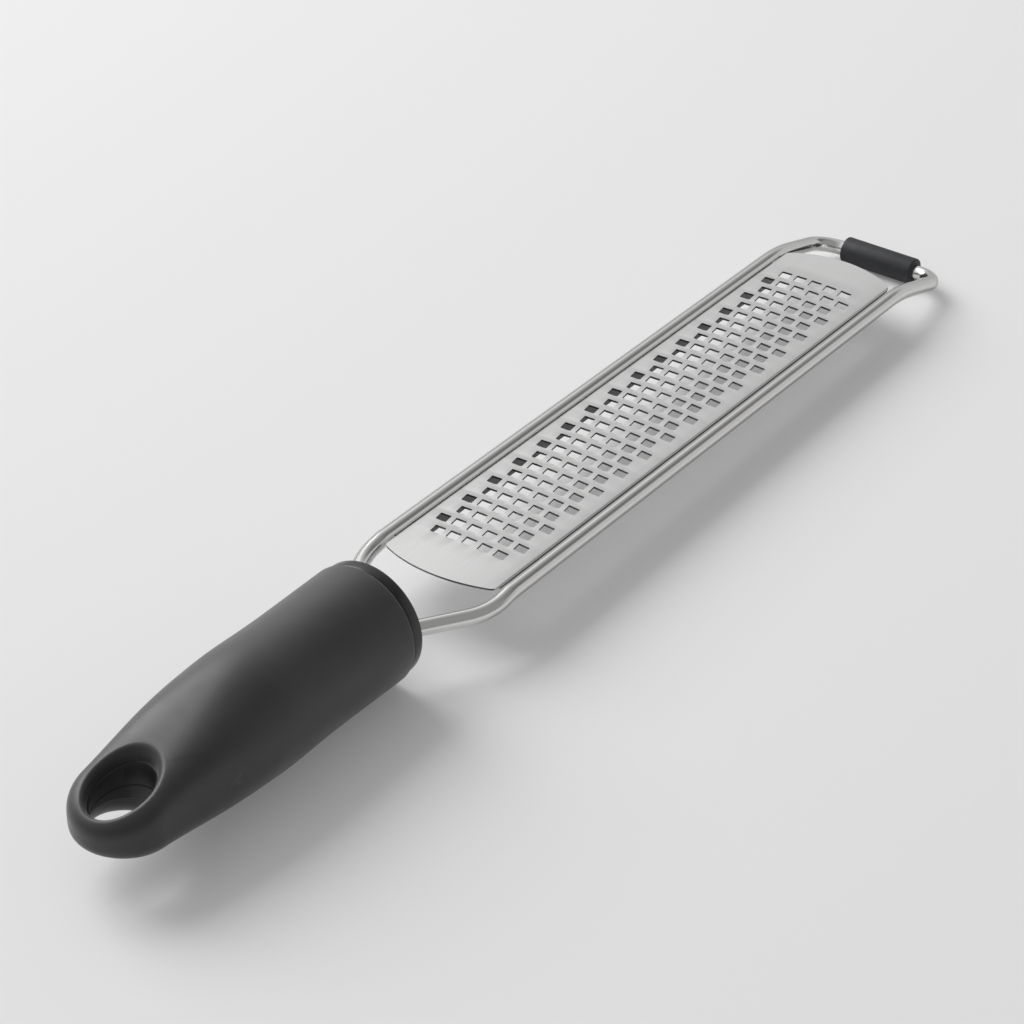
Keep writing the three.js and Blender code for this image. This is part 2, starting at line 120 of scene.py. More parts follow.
# Handle: grip and core share one form, the core drawn in
HANDLE_LENGTH = 96.1
HANDLE_FRONT_HEIGHT = 0.65
HANDLE_REAR_HEIGHT = 0.48
HANDLE_DROOP = 2.3
GRIP_FRONT_X = -116.4
GRIP_FRONT_DIAMETER = 30.6
GRIP_WAIST_X = -140.1
GRIP_WAIST_DIAMETER = 30.2
GRIP_BELLY_X = -161.1
GRIP_BELLY_DIAMETER = 31.0
GRIP_NOSE_X = -204.3
GRIP_NOSE_THICKNESS = 12.1
GRIP_TAPER_BEND = 0.2  # share of the taper over which it bends in, to each side of the belly
GRIP_SKIN = 1.0
GRIP_FRONT_ROLL = 0.6
CORE_INSET = 2.3
EYE_RADIUS = 11.9
EYE_SQUARENESS = 3.5
EYE_HALF_LENGTH = 8.5
EYE_HALF_WIDTH = 6.7
EYE_TOP_ROUND = (1.9, 3.2)  # how far the hole's mouth spreads, and how deep that begins
EYE_BOTTOM_ROUND = (3.5, 5.2)
EYE_ROUND_SHARE = 0.75  # the mouth's rounding takes no more than this share of the wall
EYE_LEDGE = 0.4
EYE_LEDGE_TURN = (0.8, 0.125)  # shares of the ledge over which its edge turns: outwards and down
EYE_BAND = 0.18
EYE_FRONT_X = -176.3

# Fineness
ROD_SIDES = 32
BEND_STEP_DEG = 4.0
BEND_FEWEST_STEPS = 2
END_STEPS = 20
ROUND_SIDES = 96
FRONT_SPOKES = 40
BACK_SPOKES = 96
ROUND_STEPS = 8
SKIN_RINGS = 18
BODY_RINGS = 44
CORE_RINGS = 12
RIM_CROWDING = 3.0  # how much the rings round the eye crowd towards the rim: 1 is not at all
FRONT_CROWDING = 1.2
REACH_ROUNDS = 40
CUT_DIGITS = 4
ROW_DIGITS = 3
SAME = 1e-4  # places closer than this are one place
AT_RIM = 1e-6  # where the skin has fallen to this, it has come to its rim
CUT_UPRIGHT = 0.4  # a face whose normal rises less than this stands upright
HARD_SHARP_DEG = 35  # edges that turn by more than this are shaded sharp
INNER_SHARP_DEG = 40
GRIP_SHARP_DEG = 50

rod_radius = ROD_DIAMETER / 2
side_y = SIDE_SPACING / 2
neck_y = NECK_SPACING / 2
tip_x = FOLD_X + TIP_REACH * math.cos(math.radians(FOLD_DEG))
tip_z = -TIP_REACH * math.sin(math.radians(FOLD_DEG))
plate_half_width = PLATE_WIDTH / 2
handle_end_x = COLLAR_FRONT_X - HANDLE_LENGTH
eye_x = handle_end_x + EYE_RADIUS

# From the tool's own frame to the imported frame: leaned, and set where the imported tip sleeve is
sleeve_low, sleeve_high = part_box("tip_sleeve")
lean = Matrix.Rotation(math.radians(LEAN_DEG), 4, "Y")
lay_down = (
    Matrix.Translation((sleeve_low + sleeve_high) / 2)
    @ lean
    @ Matrix.Scale(MM, 4)
    @ Matrix.Translation((-tip_x, 0, -tip_z))
)


def lerp(a, b, share):
    return a + (b - a) * share


def ease(share):
    """0 to 1, eased at both ends."""
    share = min(max(share, 0), 1)
    return share * share * (3 - 2 * share)


def verts_in(geom):
    return [item for item in geom if isinstance(item, bmesh.types.BMVert)]


def edges_in(geom):
    return [item for item in geom if isinstance(item, bmesh.types.BMEdge)]


def edges_between(verts):
    """The edges whose two ends are both among these vertices, each once and in the same order each run."""
    chosen = set(verts)
    found = [edge for vert in verts for edge in vert.link_edges if set(edge.verts) <= chosen]
    return list(dict.fromkeys(found))


def close_up(bm):
    """Welds the seams and turns every face outwards."""
    bmesh.ops.remove_doubles(bm, verts=bm.verts, dist=SAME)
    bmesh.ops.recalc_face_normals(bm, faces=bm.faces)


def round_off(bm, geom, width, steps, affect="EDGES"):
    """Rounds off edges, or corners where affect says VERTICES."""
    bmesh.ops.bevel(
        bm, geom=geom, offset=width, offset_type="OFFSET", affect=affect, segments=steps,
        profile=0.5, material=-1,
    )


def finish_piece(bm, name, node, material, sharp_deg):
    """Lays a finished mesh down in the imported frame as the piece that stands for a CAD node."""
    bmesh.ops.transform(bm, matrix=lay_down, verts=bm.verts)
    for face in bm.faces:
        face.smooth = True
    for edge in bm.edges:
        edge.smooth = len(edge.link_faces) == 2 and edge.calc_face_angle() < math.radians(sharp_deg)
    mesh = bpy.data.meshes.new(name)
    bm.to_mesh(mesh)
    bm.free()
    piece = bpy.data.objects.new(name, mesh)
    bpy.context.scene.collection.objects.link(piece)
    mesh.materials.append(material)
    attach(piece, "root")
    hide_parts(node)
    return piece


def wire_corners():
    """The wire's corners from one end in the handle to the other, each with its bend radius."""
    leg = [
        (Vector((ROD_END_X, -neck_y, -LEG_STEP)), 0),
        (Vector((NECK_X, -neck_y, -LEG_STEP)), NECK_RADIUS),
        (Vector((SHOULDER_X, -side_y, -LEG_STEP)), SHOULDER_RADIUS),
        (Vector((SHOULDER_X + LEG_STEP_LENGTH, -side_y, 0)), LEG_STEP_RADIUS),
        (Vector((FOLD_X, -side_y, 0)), FOLD_RADIUS),
        (Vector((tip_x, -side_y, tip_z)), TIP_CORNER_RADIUS),
    ]
    other_leg = [(Vector((place.x, -place.y, place.z)), radius) for place, radius in reversed(leg)]
    return leg + other_leg


def bend_wire():
    """One round rod, drawn out along its straight runs and spun round each bend."""
    bm = bmesh.new()
    around = bm.verts.layers.float_vector.new("around")
    corners = wire_corners()
    start = corners[0][0]
    facing = Matrix.Translation(start) @ Matrix.Rotation(math.pi / 2, 4, "Y")
    ring = bmesh.ops.create_circle(bm, segments=ROD_SIDES, radius=rod_radius, matrix=facing)["verts"]
    for vert in ring:
        vert[around] = (vert.co - start) * MM
    edges = edges_between(ring)
    bmesh.ops.edgeloop_fill(bm, edges=edges)
    here = start
    for (before, _), (corner, radius), (after, _) in zip(corners, corners[1:], corners[2:]):
        inward = (corner - before).normalized()
        outward = (after - corner).normalized()
        sweep = inward.angle(outward)
        bend_start = corner - inward * radius * math.tan(sweep / 2)
        drawn = bmesh.ops.extrude_edge_only(bm, edges=edges)["geom"]
        bmesh.ops.translate(bm, verts=verts_in(drawn), vec=bend_start - here)
        towards_middle = (outward - inward * inward.dot(outward)).normalized()
        bent = bmesh.ops.spin(
            bm,
            geom=edges_between(verts_in(drawn)),
            cent=bend_start + towards_middle * radius,
            axis=inward.cross(outward).normalized(),
            angle=sweep,
            steps=max(BEND_FEWEST_STEPS, math.ceil(math.degrees(sweep) / BEND_STEP_DEG)),
        )["geom_last"]
        edges = edges_in(bent)
        here = corner + outward * radius * math.tan(sweep / 2)
    drawn = bmesh.ops.extrude_edge_only(bm, edges=edges)["geom"]
    bmesh.ops.translate(bm, verts=verts_in(drawn), vec=corners[-1][0] - here)
    bmesh.ops.edgeloop_fill(bm, edges=edges_between(verts_in(drawn)))
    close_up(bm)
    return bm


def tooth_places():
    """The middles of all tooth holes, in plan."""
    places = []
    for row in range(TOOTH_ROWS):
        count = TEETH_IN_WIDE_ROW - 1 + row % 2
        for i in range(count):
            x = (row - (TOOTH_ROWS - 1) / 2) * TOOTH_ROW_PITCH
            y = (i - (count - 1) / 2) * TOOTH_PITCH
            places.append((x, y))
    return places


def crown_height(y):
    """Height of the plate's top face across its width, rolled over at the side edges."""
    height = PLATE_EDGE_HEIGHT + PLATE_CROWN * (1 - (y / plate_half_width) ** 2)
    over = (abs(y) - plate_half_width + PLATE_EDGE_ROUND) / PLATE_EDGE_ROUND
    if over > 0:
        height -= PLATE_EDGE_ROUND * (1 - math.sqrt(max(1 - over * over, 0)))
    return height


def plate_outline(bm):
    """The plate's flat outline: two bulging ends joined by straight sides, with rounded corners."""
    end_radius = (plate_half_width ** 2 + PLATE_END_BULGE ** 2) / (2 * PLATE_END_BULGE)
    end_sweep = 2 * math.asin(plate_half_width / end_radius)
    middle = PLATE_LENGTH / 2 + PLATE_END_BULGE - end_radius
    corners = []
    for end in (1, -1):
        first = bm.verts.new((end * PLATE_LENGTH / 2, -end * plate_half_width, 0))
        turned = bmesh.ops.spin(
            bm, geom=[first], cent=(end * middle, 0, 0), axis=(0, 0, 1), angle=end_sweep, steps=END_STEPS
        )["geom_last"]
        corners += [first, verts_in(turned)[0]]
    bm.edges.new((corners[1], corners[2]))
    bm.edges.new((corners[3], corners[0]))
    bmesh.ops.edgeloop_fill(bm, edges=bm.edges)
    round_off(bm, corners, PLATE_CORNER_RADIUS, PLATE_CORNER_STEPS, "VERTICES")


def cut_lines(places):
    """Where the sheet is cut along and across, so that every tooth hole and ramp has its own cells."""
    along = {FLANGE_REACH, -FLANGE_REACH}
    across = set()
    for x, y in places:
        heel_x, tip_edge_x = x - TOOTH_LENGTH / 2, x + TOOTH_LENGTH / 2
        along |= {round(heel_x, CUT_DIGITS), round(tip_edge_x, CUT_DIGITS)}
        along |= {round(tip_edge_x + TOOTH_RAMP, CUT_DIGITS), round(heel_x - TOOTH_HEEL, CUT_DIGITS)}
        across |= {round(y - TOOTH_WIDTH / 2, CUT_DIGITS), round(y + TOOTH_WIDTH / 2, CUT_DIGITS)}
    for turn in (0, *PLATE_EDGE_TURNS_DEG):
        edge = plate_half_width - PLATE_EDGE_ROUND * (1 - math.sin(math.radians(turn)))
        across |= {edge, -edge}
    return along, across


def in_tooth(x, y, places):
    return any(abs(x - tx) < TOOTH_LENGTH / 2 and abs(y - ty) < TOOTH_WIDTH / 2 for tx, ty in places)


def cut_sheet(bm, places):
    """Cuts the flat sheet into cells and takes out the tooth holes."""
    along, across = cut_lines(places)
    cuts = [((x, 0, 0), (1, 0, 0)) for x in along] + [((0, y, 0), (0, 1, 0)) for y in across]
    for place, normal in cuts:
        everything = bm.verts[:] + bm.edges[:] + bm.faces[:]
        bmesh.ops.bisect_plane(bm, geom=everything, plane_co=place, plane_no=normal)
    holes = [face for face in bm.faces if in_tooth(*face.calc_center_median().xy, places)]
    bmesh.ops.delete(bm, geom=holes, context="FACES")


def raise_teeth(bm, places):
    """Crowns the sheet, lifts the cutting edge of each tooth and dips its heel."""
    tips = {}
    heels = {}
    for x, y in places:
        tips.setdefault(round(x + TOOTH_LENGTH / 2, ROW_DIGITS), []).append(y)
        heels.setdefault(round(x - TOOTH_LENGTH / 2, ROW_DIGITS), []).append(y)
    for vert in bm.verts:
        x, y = round(vert.co.x, ROW_DIGITS), vert.co.y
        vert.co.z = crown_height(y)
        if any(abs(y - tooth_y) < TOOTH_WIDTH / 2 + SAME for tooth_y in tips.get(x, [])):
            vert.co.z += TOOTH_RISE
        if any(abs(y - tooth_y) < TOOTH_WIDTH / 2 - SAME for tooth_y in heels.get(x, [])):
            vert.co.z -= TOOTH_DIP


def turn_flanges(bm):
    """Turns a flange down along each side, and the sheet's faces up."""
    side_edges = [
        edge
        for edge in bm.edges
        if all(
            abs(abs(vert.co.y) - plate_half_width) < SAME and abs(vert.co.x) < FLANGE_REACH + SAME
            for vert in edge.verts
        )
    ]
    turned = bmesh.ops.extrude_edge_only(bm, edges=side_edges)["geom"]
    bmesh.ops.translate(bm, verts=verts_in(turned), vec=(0, 0, PLATE_EDGE_ROUND - FLANGE_DEPTH))
    bmesh.ops.recalc_face_normals(bm, faces=bm.faces)
    top = max(bm.faces, key=lambda face: abs(face.normal.z))
    if top.normal.z < 0:
        bmesh.ops.reverse_faces(bm, faces=bm.faces)


def mark_cuts(bm):
    """Marks the cut faces of the tooth holes and the insides of the flanges, where shade is painted on."""
    cut = bm.faces.layers.float.new("cut")
    for face in bm.faces:
        upright = abs(face.normal.z) < CUT_UPRIGHT
        y = face.calc_center_median().y
        inside = abs(y) < plate_half_width - PLATE_EDGE_ROUND or y * face.normal.y < 0
        face[cut] = float(upright and inside)


def press_plate():
    """The grating plate: a sheet with its tooth holes cut, crowned, flanged and thickened."""
    bm = bmesh.new()
    places = tooth_places()
    plate_outline(bm)
    cut_sheet(bm, places)
    raise_teeth(bm, places)
    turn_flanges(bm)
    bmesh.ops.solidify(bm, geom=bm.faces[:], thickness=PLATE_THICKNESS)
    close_up(bm)
    mark_cuts(bm)
    return bm


def mould_sleeve():
    """Rubber sleeve on the tip's crossbar: a tube with rounded ends, spun about the bar."""
    bm = bmesh.new()
    bore = rod_radius + SLEEVE_BORE_ROOM
    outer = SLEEVE_DIAMETER / 2
    half = SLEEVE_LENGTH / 2
    profile = ((bore, half), (outer, half), (outer, -half), (bore, -half))
    wall = [bm.verts.new((tip_x, y, tip_z + radius)) for radius, y in profile]
    for a, b in zip(wall, wall[1:] + wall[:1]):
        bm.edges.new((a, b))
    bmesh.ops.spin(
        bm, geom=bm.edges[:], cent=(tip_x, 0, tip_z), axis=(0, 1, 0), angle=2 * math.pi,
        steps=ROUND_SIDES // 2, use_merge=True,
    )
    close_up(bm)

    def at_rim(place):
        return math.hypot(place.x - tip_x, place.z - tip_z) > outer - SAME and abs(place.y) > half - SAME

    rims = [edge for edge in bm.edges if all(at_rim(vert.co) for vert in edge.verts)]
    round_off(bm, rims, SLEEVE_EDGE, SLEEVE_EDGE_STEPS)
    return bm


def turn_collar():
    """Collar: half a disc with one leg hole, drawn back to its thickness and mirrored."""
    bm = bmesh.new()
    radius = COLLAR_DIAMETER / 2
    middle_z = HANDLE_FRONT_HEIGHT
    steps = ROUND_SIDES // 2
    first = bm.verts.new((COLLAR_FRONT_X, 0, middle_z - radius))
    arc = bmesh.ops.spin(
        bm, geom=[first], cent=(COLLAR_FRONT_X, 0, middle_z), axis=(1, 0, 0), angle=math.pi, steps=steps
    )["geom_last"]
    last = verts_in(arc)[0]
    chord = bm.edges.new((last, first))
    bmesh.ops.subdivide_edges(bm, edges=[chord], cuts=steps // 2 - 1)
    rim = bm.edges[:]
    facing = Matrix.Translation((COLLAR_FRONT_X, neck_y, -LEG_STEP)) @ Matrix.Rotation(math.pi / 2, 4, "Y")
    hole = bmesh.ops.create_circle(
        bm, segments=len(rim), radius=rod_radius + COLLAR_HOLE_ROOM, matrix=facing
    )["verts"]
    bmesh.ops.bridge_loops(bm, edges=rim + edges_between(hole))
    drawn = bmesh.ops.extrude_face_region(bm, geom=bm.faces[:])["geom"]
    bmesh.ops.translate(bm, verts=verts_in(drawn), vec=(COLLAR_BACK_X - COLLAR_FRONT_X, 0, 0))
    cut = [face for face in bm.faces if all(abs(vert.co.y) < SAME for vert in face.verts)]
    bmesh.ops.delete(bm, geom=cut, context="FACES")
    bmesh.ops.mirror(bm, geom=bm.verts[:] + bm.edges[:] + bm.faces[:], axis="Y", merge_dist=SAME)
    close_up(bm)

    def at_rim(place):
        return math.hypot(place.y, place.z - middle_z) > radius - SAME

    def at_hole(place):
        return math.hypot(abs(place.y) - neck_y, place.z + LEG_STEP) < rod_radius + COLLAR_HOLE_ROOM + SAME

    def edges_at(x, where):
        """The edges in the plane at x that lie at the rim, or at a leg hole."""
        found = {vert for vert in bm.verts if abs(vert.co.x - x) < SAME and where(vert.co)}
        return [edge for edge in bm.edges if set(edge.verts) <= found]

    for edges, (width, edge_steps) in (
        (edges_at(COLLAR_FRONT_X, at_rim), COLLAR_EDGE),
        (edges_at(COLLAR_BACK_X, at_rim), COLLAR_BACK_EDGE),
        (edges_at(COLLAR_FRONT_X, at_hole), COLLAR_HOLE_EDGE),
    ):
        round_off(bm, edges, width, edge_steps)
    spigot_turn = Matrix.Rotation(math.pi / 2, 4, "Y")
    spigot_middle = Vector((COLLAR_BACK_X - SPIGOT_LENGTH / 2 + SPIGOT_OVERLAP, 0, SPIGOT_HEIGHT))
    bmesh.ops.create_cone(
        bm, cap_ends=True, segments=SPIGOT_SIDES, radius1=SPIGOT_DIAMETER / 2, radius2=SPIGOT_DIAMETER / 2,
        depth=SPIGOT_LENGTH, matrix=Matrix.Translation(spigot_middle) @ spigot_turn,
    )
    return bm


def handle_height(x):
    """Height of the handle's middle line, which droops towards the eye."""
    straight = lerp(HANDLE_FRONT_HEIGHT, HANDLE_REAR_HEIGHT, (COLLAR_FRONT_X - x) / HANDLE_LENGTH)
    bent = max(GRIP_BELLY_X - x, 0) / (GRIP_BELLY_X - handle_end_x)
    return straight - HANDLE_DROOP * bent ** 2


def taper_share(x):
    """Share of the way from the belly, 0, to the eye, 1, eased at both ends."""
    return 1 - ease((x - eye_x) / (GRIP_BELLY_X - eye_x))


def section_power(x):
    """How square the handle's section is: 2 is an ellipse."""
    return lerp(2, EYE_SQUARENESS, taper_share(x))


def round_diameter(x):
    """Diameter of the handle's round part: a slight waist, then a belly."""
    if x >= GRIP_WAIST_X:
        share = ease((GRIP_FRONT_X - x) / (GRIP_FRONT_X - GRIP_WAIST_X))
        return lerp(GRIP_FRONT_DIAMETER, GRIP_WAIST_DIAMETER, share)
    share = ease((GRIP_WAIST_X - x) / (GRIP_WAIST_X - GRIP_BELLY_X))
    return lerp(GRIP_WAIST_DIAMETER, GRIP_BELLY_DIAMETER, share)


def taper_fall(x):
    """Share of the straight taper from the belly to the nose, bent in gently around the belly."""
    along = (GRIP_BELLY_X - x) / (GRIP_BELLY_X - GRIP_NOSE_X)
    if abs(along) < GRIP_TAPER_BEND:
        return (along + GRIP_TAPER_BEND) ** 2 / (4 * GRIP_TAPER_BEND)
    return max(along, 0)


def half_height(x, inset):
    """Half height of the handle at its middle, with a long taper to its end."""
    fall = taper_fall(x) * (GRIP_BELLY_DIAMETER - GRIP_NOSE_THICKNESS)
    return (round_diameter(x) - fall) / 2 - inset


def half_width(x, inset):
    """Half width of the handle in plan: round to the belly, then drawn in to a half circle at the eye."""
    if x >= GRIP_BELLY_X:
        return round_diameter(x) / 2 - inset
    if x <= eye_x:
        return math.sqrt(max((EYE_RADIUS - inset) ** 2 - (x - eye_x) ** 2, 0))
    return lerp(GRIP_BELLY_DIAMETER / 2, EYE_RADIUS, taper_share(x)) - inset


def section_point(x, turn, inset):
    """A point of the handle's section at x, ahead of the eye, at an angle from the +Y side."""
    power = section_power(x)
    across, upward = math.cos(turn), math.sin(turn)
    full = (abs(across) ** power + abs(upward) ** power) ** (-1 / power)
    y = half_width(x, inset) * full * across
    z = half_height(x, inset) * full * upward
    return Vector((x, y, z + handle_height(x)))


def skin_height(x, y, inset):
    """Half height of the handle's skin over a place in plan, with a round end behind the eye."""
    power = section_power(x)
    if x < eye_x:
        outward = math.hypot(x - eye_x, y) / (EYE_RADIUS - inset)
    else:
        outward = abs(y) / half_width(x, inset)
    fall = 1 - outward ** power
    return half_height(x, inset) * fall ** (1 / power) if fall > AT_RIM else 0


# A ring of vertices round the eye: the inset of the skin that it follows, how far out of the hole's
# brink it lies (in millimetres and in shares of the mouth's rounding), its share of the way on to the
# rim, and its height: a share of the skin's, less a depth (in millimetres and in shares of the rounding)
Ring = namedtuple("Ring", "inset spread spread_rounds out share depth depth_rounds")

# A direction from the middle of the eye: its angle, how far away the hole's brink is, how wide the
# mouth's rounding is, how far away the rim is, and how much the rings crowd towards the rim
Spoke = namedtuple("Spoke", "turn brink round reach crowding")


def rim_reach(turn, inset):
    """How far the handle's plan outline is from the middle of the eye in one direction."""
    y = EYE_RADIUS - inset
    if math.cos(turn) > 0:
        for _ in range(REACH_ROUNDS):
            y = half_width(eye_x + y * math.cos(turn) / abs(math.sin(turn)), inset)
        return y / abs(math.sin(turn))
    return y


def eye_spokes(inset, eye_inset, most_spread):
    """Directions round the eye: to the points of the front section, then evenly round the back."""
    spokes = []
    corner = math.atan2(section_point(EYE_FRONT_X, 0, inset).y, EYE_FRONT_X - eye_x)
    for i in range(FRONT_SPOKES + BACK_SPOKES):
        if i <= FRONT_SPOKES:
            front_turn = math.pi * i / FRONT_SPOKES
            place = section_point(EYE_FRONT_X, front_turn, inset)
            turn = math.atan2(place.y, EYE_FRONT_X - eye_x)
            reach = (EYE_FRONT_X - eye_x) / math.cos(turn)
            crowding = lerp(RIM_CROWDING, FRONT_CROWDING, math.sin(front_turn) ** 2)
        else:
            turn = -corner - 2 * (math.pi - corner) * (i - FRONT_SPOKES) / BACK_SPOKES
            reach = rim_reach(turn, inset)
            crowding = RIM_CROWDING
        half_length, half_breadth = EYE_HALF_LENGTH - eye_inset, EYE_HALF_WIDTH - eye_inset
        brink = 1 / math.hypot(math.cos(turn) / half_length, math.sin(turn) / half_breadth)
        spread = min(most_spread, EYE_ROUND_SHARE * (reach + inset - brink - eye_inset))
        spokes.append(Spoke(turn, brink, spread, reach, crowding))
    return spokes


def add_eye_face(bm, rings, eye_inset, side):
    """One face of the flat end round the hang hole: a closed ring, drawn through all the others in turn."""
    order = bm.verts.layers.int["order"]
    most_spread, round_depth = EYE_TOP_ROUND if side > 0 else EYE_BOTTOM_ROUND
    spokes = {inset: eye_spokes(inset, eye_inset, most_spread) for inset in {ring.inset for ring in rings}}

    def place(i, ring):
        spoke = spokes[ring.inset][i]
        start = min(spoke.brink + ring.spread + ring.spread_rounds * spoke.round, spoke.reach)
        reach = lerp(start, spoke.reach, 1 - (1 - ring.out) ** spoke.crowding)
        x = eye_x + reach * math.cos(spoke.turn)
        y = reach * math.sin(spoke.turn)
        depth = ring.depth + ring.depth_rounds * round_depth
        rise = ring.share * skin_height(x, y, ring.inset) - depth
        return Vector((x, y, handle_height(x) + side * rise))

    loop = bmesh.ops.create_circle(bm, segments=FRONT_SPOKES + BACK_SPOKES, radius=1)["verts"]
    for i, vert in enumerate(loop):
        vert[order] = i
        vert.co = place(i, rings[0])
    edges = edges_between(loop)
    for ring in rings[1:]:
        drawn = verts_in(bmesh.ops.extrude_edge_only(bm, edges=edges)["geom"])
        for vert in drawn:
            vert.co = place(vert[order], ring)
        edges = edges_between(drawn)


def skin_rings(inset, spread, spread_rounds):
    """Rings from the end of the hole's rounding out to the rim."""
    return [Ring(inset, spread, spread_rounds, i / SKIN_RINGS, 1, 0, 0) for i in range(1, SKIN_RINGS + 1)]


def add_body(bm, stations):
    """Draws the round body through its stations, (x, inset) each, and gives the first ring's edges."""
    order = bm.verts.layers.int["order"]

    def place(i, station):
        x, inset = station
        return section_point(x, math.pi * i / FRONT_SPOKES, inset)

    loop = bmesh.ops.create_circle(bm, segments=2 * FRONT_SPOKES, radius=1)["verts"]
    for i, vert in enumerate(loop):
        vert[order] = i
        vert.co = place(i, stations[0])
    edges = edges_between(loop)
    first = edges
    for station in stations[1:]:
        drawn = verts_in(bmesh.ops.extrude_edge_only(bm, edges=edges)["geom"])
        for vert in drawn:
            vert.co = place(vert[order], station)
        edges = edges_between(drawn)
    return first


def handle_mesh():
    """An empty mesh whose vertices remember their place in a ring."""
    bm = bmesh.new()
    bm.verts.layers.int.new("order")
    return bm


def close_handle(bm):
    bm.verts.layers.int.remove(bm.verts.layers.int["order"])
    close_up(bm)
    return bm


def mould_grip():
    """Soft grip: a skin open at the front, with a rounded hang hole through its flat end."""
    bm = handle_mesh()
    quarter = [math.pi / 2 * i / ROUND_STEPS for i in range(ROUND_STEPS + 1)]
    turns = [(math.cos(turn), math.sin(turn)) for turn in quarter]
    inner = [Ring(0, GRIP_SKIN * out, 1 - out, 0, 1, GRIP_SKIN * up, 1 - up) for out, up in turns]
    outer = [Ring(0, 0, 1 - out, 0, 1, 0, 1 - up) for out, up in turns]
    rings = list(reversed(inner + skin_rings(GRIP_SKIN, 0, 1))) + outer + skin_rings(0, 0, 1)
    for side in (1, -1):
        add_eye_face(bm, rings, 0, side)
    roll = [
        (GRIP_FRONT_X - GRIP_FRONT_ROLL * (1 - math.cos(turn)), GRIP_FRONT_ROLL * (1 - math.sin(turn)))
        for turn in quarter
    ]
    start = roll[-1][0]
    outer_stations = [(lerp(start, EYE_FRONT_X, i / BODY_RINGS), 0) for i in range(1, BODY_RINGS + 1)]
    inner_stations = [(x, GRIP_SKIN) for x, _ in reversed(outer_stations)] + [(GRIP_FRONT_X, GRIP_SKIN)]
    add_body(bm, inner_stations + roll + outer_stations)
    return close_handle(bm)


def mould_core():
    """Hard core: fills the grip and lines the hang hole, with a fine band round the lining's middle."""
    bm = handle_mesh()
    turn_out, turn_down = (EYE_LEDGE * share for share in EYE_LEDGE_TURN)
    rings = [
        Ring(0, EYE_BAND, 0, 0, 0, 0, 0),
        Ring(0, 0, 0, 0, 0, -EYE_BAND, 0),
        Ring(0, 0, 0, 0, 1, EYE_LEDGE, 1),
        Ring(0, turn_out, 0, 0, 1, turn_down, 1),
        Ring(0, EYE_LEDGE + GRIP_SKIN, 0, 0, 1, turn_down, 1),
    ] + skin_rings(CORE_INSET, 0, 1)
    for side in (1, -1):
        add_eye_face(bm, rings, EYE_LEDGE, side)
    places = [lerp(GRIP_FRONT_X, EYE_FRONT_X, i / CORE_RINGS) for i in range(CORE_RINGS + 1)]
    stations = [(x, CORE_INSET) for x in places]
    bmesh.ops.edgeloop_fill(bm, edges=add_body(bm, stations))
    return close_handle(bm)


def add_node(tree, kind, values=None, **settings):
    """A shader node with its settings and the values of its sockets."""
    made = tree.nodes.new(kind)
    for name, value in settings.items():
        setattr(made, name, value)
    for name, value in (values or {}).items():
        made.inputs[name].default_value = value
    return made


def new_group(name, inputs, outputs):
    """An empty shader node group with named sockets: (name, kind) each."""
    group = bpy.data.node_groups.new(name, "ShaderNodeTree")
    for label, kind in inputs:
        group.interface.new_socket(name=label, in_out="INPUT", socket_type=kind)
    for label, kind in outputs:
        group.interface.new_socket(name=label, in_out="OUTPUT", socket_type=kind)
    return group, group.nodes.new("NodeGroupInput"), group.nodes.new("NodeGroupOutput")


CLOUD_LIMITS = {"From Min": 0.3, "From Max": 0.7}  # the part of a noise's range that shows
# painted shade on the plate's cut faces, flange insides and right edge crevice
CUT_SHADE_TONE = (0.14, 0.14, 0.14)


def make_uneven_tone():
    """Two tones of a finish, mixed by soft cloudy patches."""
    group, start, end = new_group(
        "uneven_tone",
        [("Vector", "NodeSocketVector"), ("Scale", "NodeSocketFloat"),
         ("Dark", "NodeSocketColor"), ("Light", "NodeSocketColor")],
        [("Color", "NodeSocketColor")],
    )
    clouds = add_node(group, "ShaderNodeTexNoise", {"Detail": 4, "Roughness": 0.6})
    spread = add_node(group, "ShaderNodeMapRange", CLOUD_LIMITS)
    mix = add_node(group, "ShaderNodeMix", data_type="RGBA")
    group.links.new(start.outputs["Vector"], clouds.inputs["Vector"])
    group.links.new(start.outputs["Scale"], clouds.inputs["Scale"])
    group.links.new(clouds.outputs["Fac"], spread.inputs["Value"])
    group.links.new(spread.outputs["Result"], mix.inputs["Factor"])
    group.links.new(start.outputs["Dark"], mix.inputs["A"])
    group.links.new(start.outputs["Light"], mix.inputs["B"])
    group.links.new(mix.outputs["Result"], end.inputs["Color"])
    return group


def make_uneven_polish():
    """A value that wanders between two limits over the surface, for roughness."""
    group, start, end = new_group(
        "uneven_polish",
        [("Vector", "NodeSocketVector"), ("Scale", "NodeSocketFloat"),
         ("Low", "NodeSocketFloat"), ("High", "NodeSocketFloat")],
        [("Value", "NodeSocketFloat")],
    )
    clouds = add_node(group, "ShaderNodeTexNoise", {"Detail": 3, "Roughness": 0.55})
    spread = add_node(group, "ShaderNodeMapRange", CLOUD_LIMITS)
    group.links.new(start.outputs["Vector"], clouds.inputs["Vector"])
    group.links.new(start.outputs["Scale"], clouds.inputs["Scale"])
    group.links.new(clouds.outputs["Fac"], spread.inputs["Value"])
    group.links.new(start.outputs["Low"], spread.inputs["To Min"])
    group.links.new(start.outputs["High"], spread.inputs["To Max"])
    group.links.new(spread.outputs["Result"], end.inputs["Value"])
    return group


def make_grain():
    """Fine grain as a height."""
    group, start, end = new_group(
        "grain",
        [("Vector", "NodeSocketVector"), ("Scale", "NodeSocketFloat")],
        [("Height", "NodeSocketFloat")],
    )
    noise = add_node(group, "ShaderNodeTexNoise", {"Detail": 5, "Roughness": 0.7})
    group.links.new(start.outputs["Vector"], noise.inputs["Vector"])
    group.links.new(start.outputs["Scale"], noise.inputs["Scale"])
    group.links.new(noise.outputs["Fac"], end.inputs["Height"])
    return group


